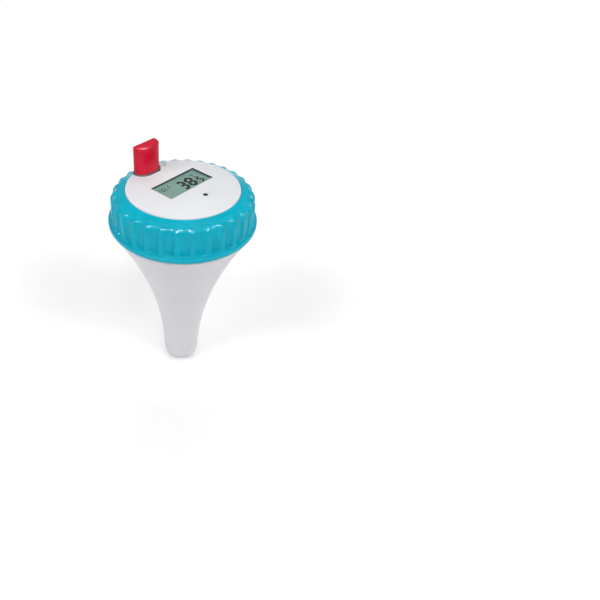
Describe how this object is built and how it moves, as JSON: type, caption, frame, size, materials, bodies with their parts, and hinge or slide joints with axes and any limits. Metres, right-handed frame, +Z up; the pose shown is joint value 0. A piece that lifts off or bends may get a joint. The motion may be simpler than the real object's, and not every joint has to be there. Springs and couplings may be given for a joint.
{
  "type": "floating pool thermometer",
  "caption": "Floating pool thermometer: weighted tapered float hull, turquoise screw ring, round white face with a small display, and an upright red antenna cover.",
  "frame": {"origin": "lowest point of the rounded hull tip, on the hull's axis", "axes": "+Z up along the hull's axis out of the water, +X the way the display is read, +Y towards the antenna cover"},
  "size_m": [0.1028, 0.1028, 0.1774],
  "materials": {
    "hull_plastic": "smooth satin gloss white ABS",
    "ring_plastic": "glossy turquoise ABS",
    "cover_plastic": "fine satin white ABS",
    "antenna_plastic": "high-gloss red ABS",
    "black_rubber": "matt black silicone rubber",
    "soft_seal": "soft silicone",
    "dark_trim": "dark grey moulding",
    "clear_window": "clear flat acrylic",
    "display_glass": "grey-green reflective liquid crystal panel",
    "smoked_lens": "smoked clear light guide",
    "inner_plastic": "light grey ABS",
    "door_plastic": "mid grey ABS",
    "board": "green glass-epoxy board with solder mask",
    "black_component": "black epoxy moulding",
    "blue_key": "blue moulded key",
    "plated_metal": "nickel-plated sheet and wire",
    "screw_steel": "zinc-plated screw",
    "stainless": "drawn stainless steel",
    "ballast_steel": "zinc-plated turned steel",
    "copper": "enamelled copper wire",
    "cell_jacket": "printed foil jacket with plain steel ends",
    "red_wire": "PVC insulation",
    "black_wire": "PVC insulation",
    "white_wire": "PVC insulation"
  },
  "bodies": {
    "hull": {"float_hull": "hull_plastic", "ballast_weight": "ballast_steel", "ballast_retainer": "inner_plastic", "thermal_pad": "soft_seal"},
    "module": {"top_cover": "cover_plastic", "cover_o_ring": "black_rubber", "display_bezel": "dark_trim", "display_window": "clear_window", "display_panel": "display_glass", "display_frame": "inner_plastic", "zebra_strips": "soft_seal", "main_board": "board", "board_screws": "screw_steel", "control_chip": "black_component", "buffer_capacitor": "black_component", "radio_module": "plated_metal", "status_led": "dark_trim", "led_lens": "smoked_lens", "antenna_cover": "antenna_plastic", "antenna_gasket": "black_rubber", "antenna_coil": "copper", "antenna_screws": "screw_steel", "chassis": "inner_plastic", "chassis_screws": "screw_steel", "battery_holder": "inner_plastic", "holder_screw": "screw_steel", "battery_cell_1": "cell_jacket", "battery_cell_2": "cell_jacket", "cell_springs": "plated_metal", "cell_contacts": "plated_metal", "positive_lead": "red_wire", "negative_lead": "black_wire", "probe_sheath": "stainless", "thermistor": "black_component", "probe_leads": "white_wire", "switch_case": "plated_metal", "key_switches": "black_component"},
    "ring": {"lock_ring": "ring_plastic"},
    "door": {"battery_door": "door_plastic"},
    "channel_knob": {"channel_switch": "black_component"},
    "reset_key": {"reset_button": "blue_key"},
    "unit_key": {"unit_button": "door_plastic"}
  },
  "joints": [
    {"name": "module_lift", "type": "slide", "parent": "hull", "child": "module", "axis": [0, 0, 1], "range_m": [0, 0.1505]},
    {"name": "ring_turn", "type": "hinge", "parent": "module", "child": "ring", "pos_m": [0, 0, 0.14], "axis": [0, 0, 1], "range_deg": [0, 9000]},
    {"name": "door_slide", "type": "slide", "parent": "module", "child": "door", "axis": [0, 0, 1], "range_m": [0, 0.044]},
    {"name": "channel_slide", "type": "slide", "parent": "module", "child": "channel_knob", "axis": [1, 0, 0], "range_m": [-0.002, 0.002]},
    {"name": "reset_press", "type": "slide", "parent": "module", "child": "reset_key", "axis": [0, 0, 1], "range_m": [0, 0.0008], "stiffness_N_per_m": 300, "springref_m": -0.0004},
    {"name": "unit_press", "type": "slide", "parent": "module", "child": "unit_key", "axis": [0, 0, 1], "range_m": [0, 0.0008], "stiffness_N_per_m": 300, "springref_m": -0.0004}
  ],
  "couplings": [
    {"joint": "module_lift", "follows": "ring_turn", "m_per_rad": 0.00095493}
  ]
}
